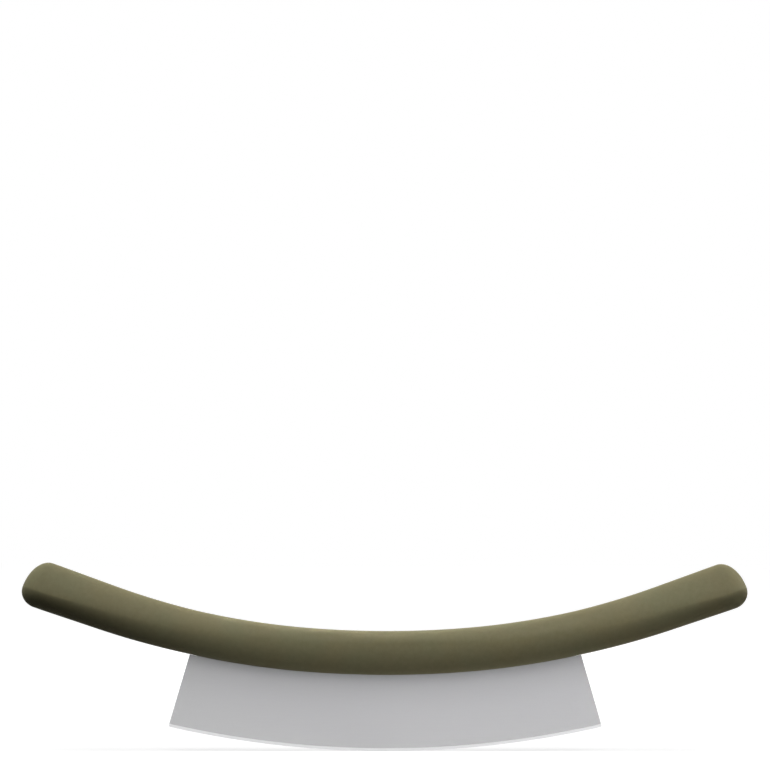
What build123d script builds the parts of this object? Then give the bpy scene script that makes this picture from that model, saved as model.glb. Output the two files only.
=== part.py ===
from build123d import *
from math import asin, cos, pi, radians, sin, sqrt, tan
import os

# Rocking pizza knife, in millimetres. X runs along the knife, Y from front to rear, Z up.
# The origin is the lowest point of the cutting edge. "Run" is a length along the handle's
# mid-line, counted from the middle of the knife, and "drop" is square to it, positive downwards.

# Handle: overall size and the sweep of its mid-line
handle_span = 380.0
centre_radius = 523.5
centre_run = 42.0
shoulder_radius = 418.8
arm_slope = radians(19.2)

# Handle: its section over the blade and at the tips, and the start of the swelling between them
grip_height = 22.9
grip_depth = 24.0
tip_height = 25.0
tip_depth = 26.4
swell_run = 102.0
section_points = 24
arm_stations = 9

# Handle: the line along its widest points, high over the blade and low at the tips. Above and
# below it each side of the section is a quarter of a superellipse. A power under 2 makes the
# widest line a soft crease, and the crest power keeps the top and the bottom round even so
widest_drop_centre = -4.3
widest_drop_tip = 3.3
widest_sweep_power = 1.5
upper_power_centre = 2.8
upper_power_tip = 1.45
lower_power_centre = 1.9
lower_power_tip = 1.6
crest_power = 2.0

# Handle: rounded ends, a quarter ellipse above and below the crown line
cap_length_top = 11.0
cap_length_bottom = 9.0
cap_lead = 3.0
crown_drop = 4.2
cap_angles = (66, 46, 28, 14)

# Blade
blade_drop = 39.75
blade_thickness = 2.0
edge_radius = 510.0
edge_chord = 226.6
side_lean = radians(16.2)
corner_radius = 0.8
bevel_height = 1.6
edge_thickness = 0.2
seat_gap = 0.2

# Tang
tang_thickness = 1.6
tang_reach = 135.0
tang_above = 4.0
tang_below = 5.5
tang_corner_radius = 3.0
neck_inset = 14.5
neck_root = 2.0
tang_clearance = 0.2

# Core halves and their skin
skin_thickness = 2.5
rib_thickness = 3.0
pocket_height = 9.0
pocket_depth = 5.0
pocket_corner_radius = 1.5
pockets_per_bay = 3
peg_radius = 2.2
peg_length = 3.0
peg_clearance = 0.1

# Compression rivets
rivet_count = 5
rivet_end_margin = 15.0
clamp_half = 5.0
rivet_tube_radius = 2.5
rivet_pin_radius = 1.7
rivet_head_radius = 4.0
rivet_head_thickness = 1.2
rivet_rim_chamfer = 0.4
rivet_tube_end_gap = 0.4
rivet_pin_end_gap = 1.0
shank_clearance = 0.05
tang_hole_clearance = 0.15
head_clearance = 0.15

# Arm screws, placed along the free stretch from the tang's end to the crown
screw_place_shares = (0.25, 0.65)
screw_radius = 1.6
screw_hole_clearance = 0.2
screw_grip_length = 5.0
screw_point_length = 1.2
screw_point_radius = 0.8
screw_head_radius = 3.2
screw_head_thickness = 1.8
screw_head_rounding = 0.9
screw_socket_radius = 1.5
screw_socket_depth = 1.0

overrun = 5.0

# Sizes that follow from those above
centre_turn = centre_run / centre_radius
shoulder_run = centre_run + shoulder_radius * (arm_slope - centre_turn)
middle_height = blade_drop + grip_height / 2
centre_pivot_height = middle_height + centre_radius
pivot_offset = centre_radius - shoulder_radius
shoulder_pivot_x = pivot_offset * sin(centre_turn)
shoulder_pivot_height = centre_pivot_height - pivot_offset * cos(centre_turn)
shoulder_end_x = shoulder_pivot_x + shoulder_radius * sin(arm_slope)

# The arms are as long as puts the ends' outermost points at the handle's span
end_bulge = sqrt(
    (cap_length_bottom * cos(arm_slope)) ** 2
    + ((tip_height / 2 - crown_drop) * sin(arm_slope)) ** 2
)
straight_x = handle_span / 2 - shoulder_end_x - crown_drop * sin(arm_slope) - end_bulge
crown_run = shoulder_run + straight_x / cos(arm_slope) + cap_length_bottom
cap_run = crown_run - cap_length_top
arm_run = cap_run - cap_lead

rivet_pitch = 2 * (tang_reach - rivet_end_margin) / (rivet_count - 1)
rivet_runs = [rivet_pitch * (i - (rivet_count - 1) / 2) for i in range(rivet_count)]
screw_runs = [tang_reach + share * (crown_run - tang_reach) for share in screw_place_shares]
peg_run = sum(screw_runs) / 2
neck_half = edge_chord / 2 - neck_inset


# Mid-line: a centre arc, two tighter shoulder arcs and straight arms

def slope_at(run):
    turn = abs(run) / centre_radius
    if abs(run) > centre_run:
        turn = centre_turn + (abs(run) - centre_run) / shoulder_radius
    if abs(run) > shoulder_run:
        turn = arm_slope
    return turn if run >= 0 else -turn


def point_at(run, drop=0):
    side = 1 if run >= 0 else -1
    turn = abs(slope_at(run))
    if abs(run) <= centre_run:
        x = centre_radius * sin(turn)
        z = centre_pivot_height - centre_radius * cos(turn)
    else:
        straight = max(abs(run) - shoulder_run, 0)
        x = shoulder_pivot_x + shoulder_radius * sin(turn) + straight * cos(turn)
        z = shoulder_pivot_height - shoulder_radius * cos(turn) + straight * sin(turn)
    return Vector(side * (x + drop * sin(turn)), 0, z - drop * cos(turn))


def frame_at(run):
    # Local X runs along the mid-line, local Y downwards square to it, local Z to the rear
    slope = slope_at(run)
    return Plane(origin=point_at(run), x_dir=(cos(slope), 0, sin(slope)), z_dir=(0, 1, 0))


def rail(drop, reach):
    # The mid-line moved down by a drop, from -reach to reach, as arcs and straight arms
    turns = [centre_run] + ([shoulder_run] if reach > shoulder_run else [])
    stops = [r for r in turns if r < reach] + [reach]
    stops = [-r for r in reversed(stops)] + stops
    edges = []
    for start, end in zip(stops, stops[1:]):
        middle = (start + end) / 2
        if abs(middle) > shoulder_run:
            edges.append(Edge.make_line(point_at(start, drop), point_at(end, drop)))
        else:
            ends = point_at(start, drop), point_at(middle, drop), point_at(end, drop)
            edges.append(Edge.make_three_point_arc(*ends))
    return edges


def band(top_drop, bottom_drop, reach):
    # Flat strip in the XZ plane between two rails
    sides = [
        Edge.make_line(point_at(side * reach, top_drop), point_at(side * reach, bottom_drop))
        for side in (-1, 1)
    ]
    return Face(Wire(rail(top_drop, reach) + rail(bottom_drop, reach) + sides))


def plate(outline, thickness):
    return extrude(outline, thickness / 2, dir=(0, 1, 0), both=True)


def placed(shape, runs):
    return [frame_at(run) * shape for run in runs]


# Handle envelope: sections square to the mid-line, drawn in by an inset

def cap_share(distance, length):
    # Height of a quarter ellipse: nothing at the crown, full at one cap length from it
    if distance >= length:
        return 1
    return sqrt(1 - (1 - distance / length) ** 2)


def section_size(run, inset):
    swell = min(max((run - swell_run) / (arm_run - swell_run), 0), 1)
    sweep = min(run / arm_run, 1) ** widest_sweep_power
    widest = widest_drop_centre + (widest_drop_tip - widest_drop_centre) * sweep
    upper_power = upper_power_centre + (upper_power_tip - upper_power_centre) * sweep
    lower_power = lower_power_centre + (lower_power_tip - lower_power_centre) * sweep
    half_height = (grip_height + (tip_height - grip_height) * swell) / 2 - inset
    half_depth = (grip_depth + (tip_depth - grip_depth) * swell) / 2 - inset
    distance = crown_run - inset - run
    upper_share = cap_share(distance, cap_length_top - inset)
    lower_share = cap_share(distance, cap_length_bottom - inset)
    top_drop = crown_drop - (half_height + crown_drop) * upper_share
    widest_drop = crown_drop - (crown_drop - widest) * upper_share
    bottom_drop = crown_drop + (half_height - crown_drop) * lower_share
    drops = (top_drop, widest_drop, bottom_drop)
    return drops, half_depth * upper_share, (upper_power, lower_power)


def handle_section(run, inset):
    drops, half_depth, powers = section_size(abs(run), inset)
    top_drop, widest_drop, bottom_drop = drops
    upper_power, lower_power = powers
    centre = point_at(run, widest_drop)
    slope = slope_at(run)
    up = Vector(-sin(slope), 0, cos(slope))
    points = []
    for i in range(section_points):
        angle = 2 * pi * i / section_points
        above = cos(angle) > 0
        power = upper_power if above else lower_power
        crest = max(power, crest_power)
        reach = widest_drop - top_drop if above else widest_drop - bottom_drop
        rise = reach * abs(cos(angle)) ** (2 / power)
        across = half_depth * abs(sin(angle)) ** (2 / crest) * (1 if sin(angle) > 0 else -1)
        points.append(centre + up * rise + Vector(0, across, 0))
    return Face(Wire(Edge.make_spline(points, periodic=True)))


def envelope(inset):
    # A long bar with even stations, and a rounded end on each arm
    bar = [arm_run * i / arm_stations for i in range(-arm_stations, arm_stations + 1)]
    cap_length = cap_length_top - inset
    cap = [crown_run - inset - cap_length * (1 - cos(radians(angle))) for angle in cap_angles]
    cap = [arm_run, cap_run] + cap
    body = loft([handle_section(run, inset) for run in bar])
    ends = [loft([handle_section(side * run, inset) for run in cap]) for side in (-1, 1)]
    return body + ends


# Tang: a winged band inside the core and a neck that leaves it through the skin

def tang(thickness, clearance):
    wings = band(-tang_above - clearance, tang_below + clearance, tang_reach + clearance)
    ends = wings.vertices().filter_by(lambda v: abs(v.X) > point_at(tang_reach).X - tang_below)
    wings = plate(wings.fillet_2d(tang_corner_radius, ends), thickness)
    neck = band(0, grip_height / 2 + neck_root, tang_reach)
    slot = Pos(0, 0, middle_height) * Box(2 * (neck_half + clearance), thickness, 2 * middle_height)
    return wings + (plate(neck, thickness) & slot)


def make_blade():
    # Round-bottomed plate with side edges that lean inwards as they rise
    corner_turn = asin(edge_chord / 2 / edge_radius)
    corner_height = edge_radius * (1 - cos(corner_turn))
    top_height = 2 * middle_height
    top_half = edge_chord / 2 - (top_height - corner_height) * tan(side_lean)
    corners = [
        Vector(edge_chord / 2, 0, corner_height),
        Vector(top_half, 0, top_height),
        Vector(-top_half, 0, top_height),
        Vector(-edge_chord / 2, 0, corner_height),
    ]
    outline = [Edge.make_line(a, b) for a, b in zip(corners, corners[1:])]
    outline.append(Edge.make_three_point_arc(corners[3], Vector(0, 0, 0), corners[0]))
    face = Face(Wire(outline))
    face = face.fillet_2d(corner_radius, face.vertices().sort_by(Axis.Z)[:2])
    body = plate(face, blade_thickness) - envelope(-seat_gap)
    body = body.solids().sort_by(Axis.Z)[0]

    # Two flat grinds run round the edge and leave it a little thick
    outside = edge_radius + overrun
    root = edge_radius - bevel_height
    slant = (blade_thickness - edge_thickness) / 2 / bevel_height
    for side in (-1, 1):
        surface_y = side * blade_thickness / 2
        deepest_y = side * (blade_thickness / 2 - slant * (outside - root))
        clear_y = side * (blade_thickness / 2 + overrun)
        wedge = Face(Wire.make_polygon([
            (0, surface_y, edge_radius - root),
            (0, deepest_y, edge_radius - outside),
            (0, clear_y, edge_radius - outside),
            (0, clear_y, edge_radius - root),
        ]))
        body -= revolve(wedge, Axis((0, 0, edge_radius), (0, 1, 0)), 360)

    hole = Cylinder(rivet_tube_radius + tang_hole_clearance, blade_thickness + overrun)
    return body + tang(tang_thickness, 0) - placed(hole, rivet_runs)


# Fasteners, each built about its own axis with local Z to the rear

on_base = (Align.CENTER, Align.CENTER, Align.MIN)


def rod(radius, start, end):
    return Pos(0, 0, start) * Cylinder(radius, end - start, align=on_base)


def rivet_tube():
    head = rod(rivet_head_radius, -clamp_half - rivet_head_thickness, -clamp_half)
    rim = head.edges().sort_by(Axis.Z)[0]
    head = chamfer(rim, rivet_rim_chamfer)
    shank = rod(rivet_tube_radius, -clamp_half, clamp_half - rivet_tube_end_gap)
    bore = rod(rivet_pin_radius + shank_clearance, -clamp_half, clamp_half)
    return head + shank - bore


def rivet_pin():
    head = rod(rivet_head_radius, clamp_half, clamp_half + rivet_head_thickness)
    rim = head.edges().sort_by(Axis.Z)[-1]
    head = chamfer(rim, rivet_rim_chamfer)
    shank = rod(rivet_pin_radius, -clamp_half + rivet_pin_end_gap, clamp_half)
    return head + shank


def arm_screw():
    head = rod(screw_head_radius, clamp_half, clamp_half + screw_head_thickness)
    rim = head.edges().sort_by(Axis.Z)[-1]
    head = fillet(rim, screw_head_rounding)
    shank = rod(screw_radius, -screw_grip_length, clamp_half)
    point = Cone(screw_point_radius, screw_radius, screw_point_length, align=on_base)
    point = Pos(0, 0, -screw_grip_length - screw_point_length) * point
    socket_floor = clamp_half + screw_head_thickness - screw_socket_depth
    socket = extrude(RegularPolygon(screw_socket_radius, 6), screw_socket_depth + overrun)
    return head + shank + point - Pos(0, 0, socket_floor) * socket


arm_runs = [side * run for side in (-1, 1) for run in screw_runs]
peg_runs = [-peg_run, peg_run]


# Core: the space inside the skin, less the skin's own plugs over the fastener heads

def core_space():
    head_top = clamp_half + rivet_head_thickness
    screw_top = clamp_half + screw_head_thickness
    outside = max(grip_depth, tip_depth) / 2
    rivet_plug = rod(rivet_head_radius + head_clearance, head_top, outside)
    screw_plug = rod(screw_head_radius + head_clearance, screw_top, outside)
    plugs = placed(rivet_plug, rivet_runs) + placed(screw_plug, arm_runs)
    plugs += placed(mirror(rivet_plug, Plane.XY), rivet_runs)
    return envelope(skin_thickness) - plugs


def bay_pockets():
    # Coring between the rivets, on the side of each half that faces the tang
    step = rivet_pitch / (pockets_per_bay + 1)
    shape = Box(step - rib_thickness, pocket_height, 2 * pocket_depth)
    shape = fillet(shape.edges().filter_by(Axis.Z), pocket_corner_radius)
    runs = [r + step * (i + 1) for r in rivet_runs[:-1] for i in range(pockets_per_bay)]
    return placed(shape, runs)


def make_core(space, side):
    # side is -1 for the front half and 1 for the rear half
    half = Box(handle_span, tip_depth, 2 * middle_height + handle_span)
    half = Pos(0, side * tip_depth / 2, 0) * half
    head_seat = rod(rivet_head_radius + head_clearance, clamp_half, tip_depth)
    if side < 0:
        head_seat = mirror(head_seat, Plane.XY)
    rivet_hole = Cylinder(rivet_tube_radius + shank_clearance, 2 * tip_depth)
    cuts = placed(head_seat, rivet_runs) + placed(rivet_hole, rivet_runs)
    cuts += [tang(tang_thickness, tang_clearance)] + bay_pockets()
    return (space & half) - cuts


def make_front_core(space):
    pilot = rod(screw_radius, -screw_grip_length - screw_point_length, overrun)
    peg = rod(peg_radius, -peg_length, peg_length)
    return make_core(space, -1) - placed(pilot, arm_runs) + placed(peg, peg_runs)


def make_rear_core(space):
    screw_hole = rod(screw_radius + screw_hole_clearance, -overrun, clamp_half + overrun)
    screw_seat = rod(screw_head_radius + head_clearance, clamp_half, tip_depth)
    peg_hole = rod(peg_radius + peg_clearance, -overrun, peg_length + peg_clearance)
    cuts = placed(screw_hole, arm_runs) + placed(screw_seat, arm_runs) + placed(peg_hole, peg_runs)
    return make_core(space, 1) - cuts


def make_grip_skin(space):
    return envelope(0) - space - tang(tang_thickness, 0)


space = core_space()
nodes = {
    "blade": make_blade(),
    "front_core": make_front_core(space),
    "rear_core": make_rear_core(space),
    "rivet_tubes": Compound(children=placed(rivet_tube(), rivet_runs)),
    "rivet_pins": Compound(children=placed(rivet_pin(), rivet_runs)),
    "arm_screws": Compound(children=placed(arm_screw(), arm_runs)),
    "grip_skin": make_grip_skin(space),
}

os.makedirs("parts", exist_ok=True)
for name, shape in nodes.items():
    export_step(shape, f"parts/{name}.step")
    print(f"{name}: {len(shape.solids())} solids, {shape.volume:.0f} cubic mm")
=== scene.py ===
import math

import bpy
import numpy as np
from mathutils import Euler, Matrix, Vector


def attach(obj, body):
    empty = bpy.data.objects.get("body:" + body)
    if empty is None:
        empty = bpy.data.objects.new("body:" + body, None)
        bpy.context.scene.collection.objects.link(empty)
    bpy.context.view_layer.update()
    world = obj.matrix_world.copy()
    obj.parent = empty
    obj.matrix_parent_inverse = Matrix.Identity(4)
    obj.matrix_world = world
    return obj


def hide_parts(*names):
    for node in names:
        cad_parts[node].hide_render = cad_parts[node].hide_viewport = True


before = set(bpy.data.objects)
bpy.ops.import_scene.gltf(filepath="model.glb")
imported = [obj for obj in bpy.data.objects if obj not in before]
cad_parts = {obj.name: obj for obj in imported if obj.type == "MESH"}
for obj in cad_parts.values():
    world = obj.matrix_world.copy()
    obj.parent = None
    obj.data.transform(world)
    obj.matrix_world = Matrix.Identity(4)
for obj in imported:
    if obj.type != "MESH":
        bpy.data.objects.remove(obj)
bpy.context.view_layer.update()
print("frame loaded:", len(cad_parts), "nodes")

# Rocking pizza knife, in metres: a steel blade under a long upswept handle. X runs along the
# knife, the front faces -Y, Z is up, and the cutting edge touches the floor at the origin.


# ---- tools ----

def linearColour(hexText):
    # Each sRGB channel c turns into ((c + 0.055) / 1.055) ** 2.4, or c / 12.92 where it is dark
    channels = [int(hexText[i:i + 2], 16) / 255 for i in (1, 3, 5)]
    return [c / 12.92 if c <= 0.04045 else ((c + 0.055) / 1.055) ** 2.4 for c in channels] + [1]


def addNode(tree, kind, settings=None, values=None, links=None):
    # One node: settings are its own fields, values fill its sockets, links feed them
    node = tree.nodes.new(kind)
    for name, value in (settings or {}).items():
        setattr(node, name, value)
    for name, value in (values or {}).items():
        node.inputs[name].default_value = value
    for name, source in (links or {}).items():
        tree.links.new(source, node.inputs[name])
    return node


def startMaterial(name):
    material = bpy.data.materials.new(name)
    material.use_nodes = True
    material.node_tree.nodes.clear()
    return material, material.node_tree


def dressNode(node, material):
    # A CAD node keeps its mesh and takes the material in all its slots
    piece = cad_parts[node]
    if not piece.material_slots:
        piece.data.materials.append(material)
    for place in piece.material_slots:
        place.material = material


def closedTube(name, rings, startPole, endPole):
    # rings is (ring, point, xyz) in order along the piece. Point j of ring i is vertex
    # i * points + j, each quad joins two neighbours on two rings, and each open end is
    # closed by triangles to its pole.
    count, around = rings.shape[:2]
    points = np.concatenate([rings.reshape(-1, 3), [startPole, endPole]])
    i, j = np.meshgrid(np.arange(count - 1), np.arange(around), indexing="ij")
    after = (j + 1) % around
    quads = np.stack([
        i * around + j, i * around + after, (i + 1) * around + after, (i + 1) * around + j
    ], -1).reshape(-1, 4)
    j = np.arange(around)
    after = (j + 1) % around
    last = (count - 1) * around
    startFan = np.stack([np.full(around, count * around), after, j], -1)
    endFan = np.stack([np.full(around, count * around + 1), last + j, last + after], -1)
    mesh = bpy.data.meshes.new(name)
    mesh.from_pydata(points.tolist(), [], quads.tolist() + startFan.tolist() + endFan.tolist())
    mesh.shade_smooth()
    mesh.validate()
    piece = bpy.data.objects.new(name, mesh)
    bpy.context.scene.collection.objects.link(piece)
    return piece


# ---- handle ----

# The same sizes as the solid skin's. The span and the tips are a hair smaller, which keeps this
# finer surface inside the solid's box.
handle = {
    "span": 0.37998,            # outermost point to outermost point
    "bladeDrop": 0.03975,       # underside of the handle above the cutting edge
    "centreRadius": 0.5235,     # mid-line over the middle of the blade
    "centreRun": 0.042,
    "shoulderRadius": 0.4188,   # mid-line from there to the straight arms
    "armSlope": math.radians(19.2),
    "gripHeight": 0.0229,       # section over the blade
    "gripDepth": 0.0240,
    "tipHeight": 0.02488,       # section at the tips
    "tipDepth": 0.0264,
    "swellRun": 0.102,          # where the section starts to grow
    "widestDropCentre": -0.0043,    # widest line of the section, below the mid-line
    "widestDropTip": 0.0033,
    "widestSweepPower": 1.5,
    "upperPowerCentre": 2.8,
    "upperPowerTip": 1.45,
    "lowerPowerCentre": 1.9,
    "lowerPowerTip": 1.6,
    "crestPower": 2.0,          # least power across, which keeps the top and bottom round
    "capLengthTop": 0.0110,     # rounded ends, above and below their crown line
    "capLengthBottom": 0.0090,
    "capLead": 0.0030,
    "crownDrop": 0.0042,
    "runSteps": 380,
    "capSteps": 22,
    "pointsAround": 128,
}

centreTurn = handle["centreRun"] / handle["centreRadius"]
shoulderRun = handle["centreRun"] + handle["shoulderRadius"] * (handle["armSlope"] - centreTurn)
pivotOffset = handle["centreRadius"] - handle["shoulderRadius"]
centrePivotZ = handle["bladeDrop"] + handle["gripHeight"] / 2 + handle["centreRadius"]
shoulderPivotX = pivotOffset * math.sin(centreTurn)
shoulderPivotZ = centrePivotZ - pivotOffset * math.cos(centreTurn)
slopeSin, slopeCos = math.sin(handle["armSlope"]), math.cos(handle["armSlope"])
endBulge = math.hypot(
    handle["capLengthBottom"] * slopeCos,
    (handle["tipHeight"] / 2 - handle["crownDrop"]) * slopeSin,
)
straightX = (
    handle["span"] / 2 - shoulderPivotX - handle["shoulderRadius"] * slopeSin
    - handle["crownDrop"] * slopeSin - endBulge
)
crownRun = shoulderRun + straightX / slopeCos + handle["capLengthBottom"]
capRun = crownRun - handle["capLengthTop"]
armRun = capRun - handle["capLead"]


def midLine(run):
    # Run r along the mid-line: an arc of the centre radius turns by r / radius, then the
    # shoulder radius takes over, then a straight arm at the arm slope. Gives x, z and the turn.
    away, side = np.abs(run), np.sign(run)
    turn = np.where(
        away <= handle["centreRun"],
        away / handle["centreRadius"],
        centreTurn + (away - handle["centreRun"]) / handle["shoulderRadius"],
    )
    turn = np.minimum(turn, handle["armSlope"])
    straight = np.maximum(away - shoulderRun, 0)
    inCentre = away <= handle["centreRun"]
    radius = np.where(inCentre, handle["centreRadius"], handle["shoulderRadius"])
    pivotX = np.where(inCentre, 0, shoulderPivotX)
    pivotZ = np.where(inCentre, centrePivotZ, shoulderPivotZ)
    x = pivotX + radius * np.sin(turn) + straight * np.cos(turn)
    z = pivotZ - radius * np.cos(turn) + straight * np.sin(turn)
    return side * x, z, side * turn


def capShare(distance, length):
    # Height of a quarter ellipse: sqrt(1 - (1 - d / length) ** 2), full from one length on
    return np.sqrt(1 - (1 - np.minimum(distance / length, 1)) ** 2)


def handleSection(run):
    # Drops of the section's top, widest line and bottom below the mid-line, its half depth,
    # and the powers of its upper and lower quarters
    away = np.abs(run)
    swell = np.clip((away - handle["swellRun"]) / (armRun - handle["swellRun"]), 0, 1)
    sweep = np.minimum(away / armRun, 1) ** handle["widestSweepPower"]
    halfHeight = (handle["gripHeight"] + (handle["tipHeight"] - handle["gripHeight"]) * swell) / 2
    halfDepth = (handle["gripDepth"] + (handle["tipDepth"] - handle["gripDepth"]) * swell) / 2
    widest = handle["widestDropCentre"] * (1 - sweep) + handle["widestDropTip"] * sweep
    powers = [
        handle[part + "Centre"] + (handle[part + "Tip"] - handle[part + "Centre"]) * sweep
        for part in ("upperPower", "lowerPower")
    ]
    crown = handle["crownDrop"]
    upper = capShare(crownRun - away, handle["capLengthTop"])
    lower = capShare(crownRun - away, handle["capLengthBottom"])
    top = crown - (halfHeight + crown) * upper
    middle = crown - (crown - widest) * upper
    bottom = crown + (halfHeight - crown) * lower
    return top, middle, bottom, halfDepth * upper, *powers


def handleRings(runs, pointsAround):
    # Each quarter of a section is a superellipse: across = depth * |sin a| ** (2 / crest) and
    # rise = height * |cos a| ** (2 / power) from the widest line, set square to the mid-line
    angle = np.linspace(0, 2 * np.pi, pointsAround, endpoint=False)
    sine, cosine = np.sin(angle)[None], np.cos(angle)[None]
    top, middle, bottom, depth, upperPower, lowerPower = (
        v[:, None] for v in handleSection(runs)
    )
    above = cosine > 0
    power = np.where(above, upperPower, lowerPower)
    reach = np.where(above, middle - top, middle - bottom)
    crest = np.maximum(power, handle["crestPower"])
    across = depth * np.sign(sine) * np.abs(sine) ** (2 / crest)
    drop = middle - reach * np.abs(cosine) ** (2 / power)
    x, z, turn = (v[:, None] for v in midLine(runs))
    return np.stack([x + drop * np.sin(turn), across, z - drop * np.cos(turn)], -1)


def makeGripSkin():
    # Even steps along the arms, and steps of even angle round each rounded end
    angle = np.linspace(0, np.pi / 2, handle["capSteps"], endpoint=False)[1:]
    cap = crownRun - handle["capLengthTop"] * (1 - np.cos(angle))
    bar = np.linspace(-capRun, capRun, handle["runSteps"])
    runs = np.concatenate([-cap, bar, cap[::-1]])
    x, z, turn = midLine(np.array([crownRun]))
    drop = handle["crownDrop"]
    pole = np.array([x[0] + drop * np.sin(turn[0]), 0, z[0] - drop * np.cos(turn[0])])
    return closedTube(
        "gripSkin", handleRings(runs, handle["pointsAround"]), pole * [-1, 1, 1], pole
    )


gripSkin = makeGripSkin()
print("handle surface:", len(gripSkin.data.polygons), "faces")


# ---- olive soft-touch elastomer, moulded over the core in an eroded tool ----
# The tool's fine grain leaves a dead matte surface with no highlight, a little velvety where it
# turns away, and slow drifts of the olive between yellow and green.

softTouch = {
    "olive": "#797458",
    "oliveWarm": "#7A7457",
    "oliveGreen": "#787559",
    "driftMm": 24.0,            # size of the colour drifts
    "driftStops": (0.35, 0.50, 0.65),   # noise at which they are warm, plain and green
    "mottleMm": 2.5,            # size of the cloudy marks that the tool's texture leaves
    "mottleRange": (0.3, 0.7),
    "mottleTone": 0.05,
    "grainMm": 0.5,             # real grain is about 0.1 mm, drawn coarser so that it shows
    "grainBump": 0.10,
    "grainDepth": 0.0001,       # metres
    "noiseDetail": {"drift": 3.0, "mottle": 4.0, "grain": 2.0},
    "noiseRoughness": {"drift": 0.5, "mottle": 0.6, "grain": 0.6},
    "roughness": 0.72,
    "roughnessSpread": 0.06,
    "diffuseRoughness": 1.0,
    "refraction": 1.5,
    "specularLevel": 0.06,
    "sheen": 0.03,
    "sheenRoughness": 0.5,
}


def cloudNoise(tree, layer, place):
    # One layer of the skin's look: the noise repeats about once in its size in millimetres
    values = {
        "Scale": 1000 / softTouch[layer + "Mm"],
        "Detail": softTouch["noiseDetail"][layer],
        "Roughness": softTouch["noiseRoughness"][layer],
    }
    return addNode(tree, "ShaderNodeTexNoise", None, values, {"Vector": place}).outputs["Fac"]


def makeSoftTouch():
    material, tree = startMaterial("moulded soft-touch elastomer")
    place = addNode(tree, "ShaderNodeTexCoord").outputs["Object"]
    drift = cloudNoise(tree, "drift", place)
    driftRamp = addNode(tree, "ShaderNodeValToRGB", None, None, {"Fac": drift})
    stops = driftRamp.color_ramp.elements
    warmStop, plainStop, greenStop = softTouch["driftStops"]
    stops[0].position, stops[0].color = warmStop, linearColour(softTouch["oliveWarm"])
    stops[1].position, stops[1].color = greenStop, linearColour(softTouch["oliveGreen"])
    stops.new(plainStop).color = linearColour(softTouch["olive"])
    mottle = cloudNoise(tree, "mottle", place)
    paleFrom, paleTo = softTouch["mottleRange"]
    mottleTone = addNode(
        tree, "ShaderNodeMapRange", None,
        {
            "From Min": paleFrom, "From Max": paleTo,
            "To Min": 1 - softTouch["mottleTone"], "To Max": 1 + softTouch["mottleTone"],
        },
        {"Value": mottle},
    )
    mottled = addNode(
        tree, "ShaderNodeVectorMath", {"operation": "SCALE"}, None,
        {0: driftRamp.outputs["Color"], "Scale": mottleTone.outputs["Result"]},
    )
    grain = cloudNoise(tree, "grain", place)
    dull = addNode(
        tree, "ShaderNodeMapRange", None,
        {
            "To Min": softTouch["roughness"] - softTouch["roughnessSpread"],
            "To Max": softTouch["roughness"] + softTouch["roughnessSpread"],
        },
        {"Value": grain},
    )
    bump = addNode(
        tree, "ShaderNodeBump", None,
        {"Strength": softTouch["grainBump"], "Distance": softTouch["grainDepth"]},
        {"Height": grain},
    )
    shader = addNode(
        tree, "ShaderNodeBsdfPrincipled", None,
        {
            "Diffuse Roughness": softTouch["diffuseRoughness"],
            "IOR": softTouch["refraction"],
            "Specular IOR Level": softTouch["specularLevel"],
            "Sheen Weight": softTouch["sheen"],
            "Sheen Roughness": softTouch["sheenRoughness"],
        },
        {
            "Base Color": mottled.outputs["Vector"],
            "Roughness": dull.outputs["Result"],
            "Normal": bump.outputs["Normal"],
        },
    )
    addNode(tree, "ShaderNodeOutputMaterial", None, None, {"Surface": shader.outputs["BSDF"]})
    return material


gripSkin.data.materials.append(makeSoftTouch())
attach(gripSkin, "root")
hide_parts("grip_skin")
print("soft-touch skin done")


# ---- blade: rolled stainless steel strip, satin ground lengthways, with a ground edge ----
# The satin grind blurs reflections and dims them a little. The bevel along the edge is a
# second, finer grind, so it is brighter and its line is crisp.

blade = {
    "satin": "#B5B5B6",
    "bright": "#DADADB",
    "satinRoughness": 0.75,
    "brightRoughness": 0.40,
    "grindSpread": 0.8,         # anisotropy: light spreads across the grinding marks
    "edgeRadius": 0.510,
    "bevelHeight": 0.0016,
    "grindMm": 0.35,            # real grinding marks are 0.05 mm apart, drawn coarser
    "grindLengthMm": 18.0,
    "grindDetail": 3.0,
    "grindRoughness": 0.65,
    "grindBump": 0.02,
    "grindDepth": 0.00005,
    "grindTone": 0.03,          # how far the marks lighten or darken the steel
    "bevelBlur": 0.00005,       # half the width of the line between flat and bevel
}


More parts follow.
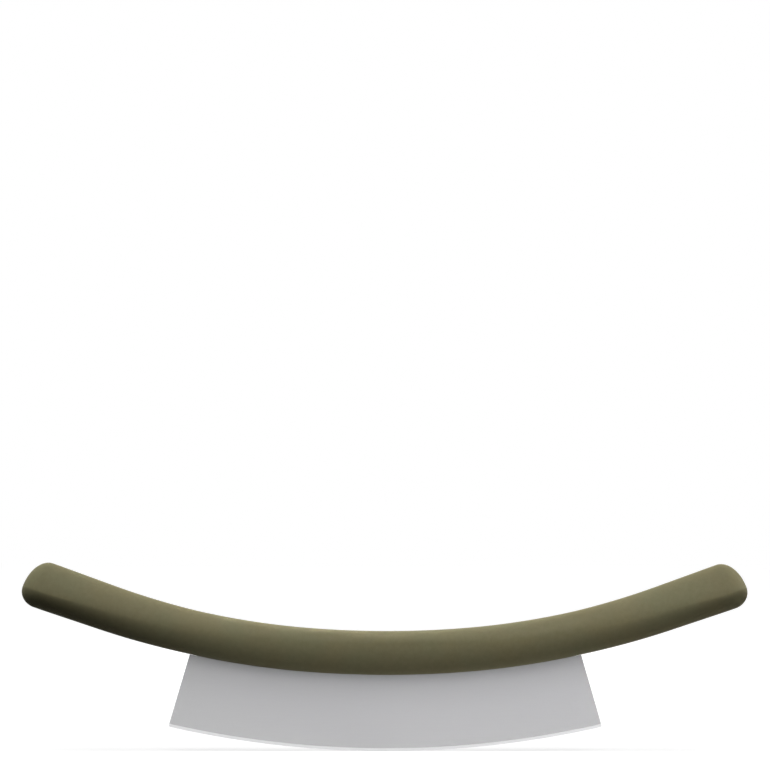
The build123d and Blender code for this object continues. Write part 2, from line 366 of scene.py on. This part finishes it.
def makeSteel():
    material, tree = startMaterial("satin ground stainless steel")
    place = addNode(tree, "ShaderNodeTexCoord").outputs["Object"]
    # Distance from the centre of the edge's arc tells the bevel from the flat
    fromPivot = addNode(
        tree, "ShaderNodeVectorMath", {"operation": "MULTIPLY_ADD"},
        {1: (1, 0, 1), 2: (0, 0, -blade["edgeRadius"])}, {0: place},
    )
    reach = addNode(
        tree, "ShaderNodeVectorMath", {"operation": "LENGTH"}, None,
        {0: fromPivot.outputs["Vector"]},
    )
    bevelLine = blade["edgeRadius"] - blade["bevelHeight"]
    onBevel = addNode(
        tree, "ShaderNodeMapRange", None,
        {"From Min": bevelLine - blade["bevelBlur"], "From Max": bevelLine + blade["bevelBlur"]},
        {"Value": reach.outputs["Value"]},
    )
    # Grinding marks: noise in millimetres, stretched along the blade
    stretch = addNode(
        tree, "ShaderNodeMapping", None,
        {"Scale": (1 / blade["grindLengthMm"], 1 / blade["grindMm"], 1 / blade["grindMm"])},
        {"Vector": place},
    )
    grind = addNode(
        tree, "ShaderNodeTexNoise", None,
        {"Scale": 1000.0, "Detail": blade["grindDetail"], "Roughness": blade["grindRoughness"]},
        {"Vector": stretch.outputs["Vector"]},
    )
    tone = addNode(
        tree, "ShaderNodeMix", {"data_type": "RGBA"},
        {"A": linearColour(blade["satin"]), "B": linearColour(blade["bright"])},
        {"Factor": onBevel.outputs["Result"]},
    )
    streak = addNode(
        tree, "ShaderNodeMapRange", None,
        {"To Min": 1 - blade["grindTone"], "To Max": 1 + blade["grindTone"]},
        {"Value": grind.outputs["Fac"]},
    )
    streakedTone = addNode(
        tree, "ShaderNodeVectorMath", {"operation": "SCALE"}, None,
        {0: tone.outputs["Result"], "Scale": streak.outputs["Result"]},
    )
    blur = addNode(
        tree, "ShaderNodeMapRange", None,
        {"To Min": blade["satinRoughness"], "To Max": blade["brightRoughness"]},
        {"Value": onBevel.outputs["Result"]},
    )
    streakedBlur = addNode(
        tree, "ShaderNodeMath", {"operation": "MULTIPLY"}, None,
        {0: blur.outputs["Result"], 1: streak.outputs["Result"]},
    )
    bump = addNode(
        tree, "ShaderNodeBump", None,
        {"Strength": blade["grindBump"], "Distance": blade["grindDepth"]},
        {"Height": grind.outputs["Fac"]},
    )
    # The marks run along the blade, so the blur is widest upwards and downwards
    upright = addNode(tree, "ShaderNodeCombineXYZ", None, {"Z": 1.0})
    shader = addNode(
        tree, "ShaderNodeBsdfPrincipled", None,
        {"Metallic": 1.0, "Anisotropic": blade["grindSpread"]},
        {
            "Base Color": streakedTone.outputs["Vector"],
            "Roughness": streakedBlur.outputs["Value"],
            "Normal": bump.outputs["Normal"],
            "Tangent": upright.outputs["Vector"],
        },
    )
    addNode(tree, "ShaderNodeOutputMaterial", None, None, {"Surface": shader.outputs["BSDF"]})
    return material


dressNode("blade", makeSteel())
print("blade done")


# ---- what the skin hides: moulded core halves and their fasteners ----

hidden = {
    "nylon": "#3A3B3B",
    "nylonFlow": "#474848",
    "flowMm": 5.556,            # cloudy flow of the fibres
    "flowDetail": 4.0,
    "flowDistortion": 0.6,
    "nylonRoughness": (0.45, 0.65),
    "nylonRefraction": 1.53,
    "turned": "#B4B3B0",
    "turnedRoughness": 0.30,
    "zinc": "#A9ADB2",
    "zincRoughness": 0.36,
    "cloudMm": 1.111,           # cloudy wear on the metal
    "cloudDetail": 2.0,
    "cloudSpread": 0.06,
}


def makeNylon():
    # Glass fibres come up at the moulded surface as a pale cloudy flow on the black
    material, tree = startMaterial("moulded glass-filled nylon")
    place = addNode(tree, "ShaderNodeTexCoord").outputs["Object"]
    flow = addNode(
        tree, "ShaderNodeTexNoise", None,
        {
            "Scale": 1000 / hidden["flowMm"],
            "Detail": hidden["flowDetail"], "Distortion": hidden["flowDistortion"],
        },
        {"Vector": place},
    )
    tone = addNode(
        tree, "ShaderNodeMix", {"data_type": "RGBA"},
        {"A": linearColour(hidden["nylon"]), "B": linearColour(hidden["nylonFlow"])},
        {"Factor": flow.outputs["Fac"]},
    )
    least, most = hidden["nylonRoughness"]
    dull = addNode(
        tree, "ShaderNodeMapRange", None, {"To Min": least, "To Max": most},
        {"Value": flow.outputs["Fac"]},
    )
    shader = addNode(
        tree, "ShaderNodeBsdfPrincipled", None, {"IOR": hidden["nylonRefraction"]},
        {"Base Color": tone.outputs["Result"], "Roughness": dull.outputs["Result"]},
    )
    addNode(tree, "ShaderNodeOutputMaterial", None, None, {"Surface": shader.outputs["BSDF"]})
    return material


def makeFastenerMetal(name, hexText, roughness):
    # Turned or plated metal, clouded a little where it was handled
    material, tree = startMaterial(name)
    place = addNode(tree, "ShaderNodeTexCoord").outputs["Object"]
    cloud = addNode(
        tree, "ShaderNodeTexNoise", None,
        {"Scale": 1000 / hidden["cloudMm"], "Detail": hidden["cloudDetail"]}, {"Vector": place},
    )
    dull = addNode(
        tree, "ShaderNodeMapRange", None,
        {
            "To Min": roughness - hidden["cloudSpread"],
            "To Max": roughness + hidden["cloudSpread"],
        },
        {"Value": cloud.outputs["Fac"]},
    )
    shader = addNode(
        tree, "ShaderNodeBsdfPrincipled", None,
        {"Base Color": linearColour(hexText), "Metallic": 1.0},
        {"Roughness": dull.outputs["Result"]},
    )
    addNode(tree, "ShaderNodeOutputMaterial", None, None, {"Surface": shader.outputs["BSDF"]})
    return material


nylon = makeNylon()
turnedSteel = makeFastenerMetal(
    "turned stainless steel", hidden["turned"], hidden["turnedRoughness"]
)
platedSteel = makeFastenerMetal("zinc-plated steel", hidden["zinc"], hidden["zincRoughness"])
for node, material in (
    ("front_core", nylon), ("rear_core", nylon), ("rivet_tubes", turnedSteel),
    ("rivet_pins", turnedSteel), ("arm_screws", platedSteel),
):
    dressNode(node, material)
print("hidden pieces done")


# ---- studio: pale floor that runs into a white world, soft lamps, camera ----

studio = {
    "floorHalf": 8.0,           # half the side of the square floor
    "floorPaper": "#868686",
    "fibreMm": 1.667,
    "fibreDetail": 2.0,
    "fibreBump": 0.02,
    "fibreDepth": 0.0002,
    "glowNear": 0.78,           # the paper's own white round the knife and far from it
    "glowFar": 1.0,
    "glowNearRadius": 0.25,
    "glowFarRadius": 1.10,
    "floorDark": "#2C2C2C",     # the floor as it lights the handle
    "ambient": 0.01,
    "lamps": {                  # place, aimed at, width, height, spread in degrees, watts
        "overhead": ((0.0, -0.20, 1.20), (0, 0, 0.06), 1.5, 0.6, 180, 17.7),
        "overFront": ((0.0, -0.80, 1.10), (0, 0, 0.06), 1.5, 0.6, 180, 11.6),
        "right": ((1.0, -0.35, 0.85), (0, 0, 0.06), 0.5, 0.5, 180, 1.8),
        "behind": ((-0.4, 1.70, 0.45), (0, 0, 0.06), 1.2, 0.5, 180, 5.0),
        "lowRight": ((1.1, -1.10, 0.06), (0.06, 0, 0.05), 0.25, 0.10, 8, 0.031),
        "lowFront": ((0.6, -1.40, 0.06), (0, 0, 0.05), 0.25, 0.10, 8, 0.011),
    },
    "cameraDistance": 2.0042,
    "cameraAzimuth": math.radians(2.364),   # towards the left of the knife
    "cameraHeight": 0.120,
    "cameraYaw": math.radians(2.342),
    "cameraPitch": math.radians(2.0405),
    "cameraRoll": math.radians(0.147),
    "lens": 178.85,
    "sensorWidth": 36.0,
}


def makeFloor():
    # A square in the XY plane, wide enough to reach the white of the world on every side
    half = studio["floorHalf"]
    mesh = bpy.data.meshes.new("studioFloor")
    corners = [(-half, -half, 0), (half, -half, 0), (half, half, 0), (-half, half, 0)]
    mesh.from_pydata(corners, [], [(0, 1, 2, 3)])
    floor = bpy.data.objects.new("studioFloor", mesh)
    bpy.context.scene.collection.objects.link(floor)
    return floor


def seenFactor(tree):
    # 1 for camera, glossy and transmission rays, 0 for the rays that only carry light
    path = addNode(tree, "ShaderNodeLightPath")
    cameraOrGlossy = addNode(
        tree, "ShaderNodeMath", {"operation": "MAXIMUM"}, None,
        {0: path.outputs["Is Camera Ray"], 1: path.outputs["Is Glossy Ray"]},
    )
    return addNode(
        tree, "ShaderNodeMath", {"operation": "MAXIMUM"}, None,
        {0: cameraOrGlossy.outputs["Value"], 1: path.outputs["Is Transmission Ray"]},
    ).outputs["Value"]


def makePaper():
    # Seen directly or in the steel the paper is white and keeps the knife's soft shadow; as a
    # source of light it is dark, so the undersides stay deep
    material, tree = startMaterial("matte white paper")
    place = addNode(tree, "ShaderNodeTexCoord").outputs["Object"]
    fibre = addNode(
        tree, "ShaderNodeTexNoise", None,
        {"Scale": 1000 / studio["fibreMm"], "Detail": studio["fibreDetail"]}, {"Vector": place},
    )
    bump = addNode(
        tree, "ShaderNodeBump", None,
        {"Strength": studio["fibreBump"], "Distance": studio["fibreDepth"]},
        {"Height": fibre.outputs["Fac"]},
    )
    paper = addNode(
        tree, "ShaderNodeBsdfDiffuse", None, {"Color": linearColour(studio["floorPaper"])},
        {"Normal": bump.outputs["Normal"]},
    )
    # The lamps light the paper less far from the knife, so its own white makes up for that
    away = addNode(tree, "ShaderNodeVectorMath", {"operation": "LENGTH"}, None, {0: place})
    strength = addNode(
        tree, "ShaderNodeMapRange", None,
        {
            "From Min": studio["glowNearRadius"], "From Max": studio["glowFarRadius"],
            "To Min": studio["glowNear"], "To Max": studio["glowFar"],
        },
        {"Value": away.outputs["Value"]},
    )
    glow = addNode(
        tree, "ShaderNodeEmission", None, {"Color": (1, 1, 1, 1)},
        {"Strength": strength.outputs["Result"]},
    )
    seen = addNode(
        tree, "ShaderNodeAddShader", None, None,
        {0: paper.outputs["BSDF"], 1: glow.outputs["Emission"]},
    )
    dark = addNode(
        tree, "ShaderNodeBsdfDiffuse", None, {"Color": linearColour(studio["floorDark"])},
    )
    mix = addNode(
        tree, "ShaderNodeMixShader", None, None,
        {0: seenFactor(tree), 1: dark.outputs["BSDF"], 2: seen.outputs["Shader"]},
    )
    addNode(tree, "ShaderNodeOutputMaterial", None, None, {"Surface": mix.outputs["Shader"]})
    return material


floor = makeFloor()
floor.data.materials.append(makePaper())

world = bpy.data.worlds.new("studio")
world.use_nodes = True
world.node_tree.nodes.clear()
tree = world.node_tree
ambient = addNode(
    tree, "ShaderNodeBackground", None, {"Color": (1, 1, 1, 1), "Strength": studio["ambient"]},
)
white = addNode(tree, "ShaderNodeBackground", None, {"Color": (1, 1, 1, 1), "Strength": 1.0})
worldMix = addNode(
    tree, "ShaderNodeMixShader", None, None,
    {0: seenFactor(tree), 1: ambient.outputs["Background"], 2: white.outputs["Background"]},
)
addNode(tree, "ShaderNodeOutputWorld", None, None, {"Surface": worldMix.outputs["Shader"]})
bpy.context.scene.world = world

for name, (lampPlace, target, width, height, spread, watts) in studio["lamps"].items():
    lamp = bpy.data.lights.new(name, "AREA")
    lamp.shape = "RECTANGLE"
    lamp.size, lamp.size_y, lamp.energy = width, height, watts
    lamp.spread = math.radians(spread)
    holder = bpy.data.objects.new(name, lamp)
    holder.location = lampPlace
    aim = Vector(target) - Vector(lampPlace)
    holder.rotation_euler = aim.to_track_quat("-Z", "Y").to_euler()
    bpy.context.scene.collection.objects.link(holder)

camera = bpy.data.objects.new("camera", bpy.data.cameras.new("camera"))
camera.data.lens = studio["lens"]
camera.data.sensor_width = studio["sensorWidth"]
camera.location = (
    -studio["cameraDistance"] * math.sin(studio["cameraAzimuth"]),
    -studio["cameraDistance"] * math.cos(studio["cameraAzimuth"]),
    studio["cameraHeight"],
)
level = Euler((math.pi / 2 + studio["cameraPitch"], 0, -studio["cameraYaw"])).to_matrix()
rolled = level @ Matrix.Rotation(studio["cameraRoll"], 3, "Z")
camera.rotation_euler = rolled.to_euler()
bpy.context.scene.collection.objects.link(camera)
bpy.context.scene.camera = camera
bpy.context.scene.view_settings.view_transform = "Standard"
print("studio done")
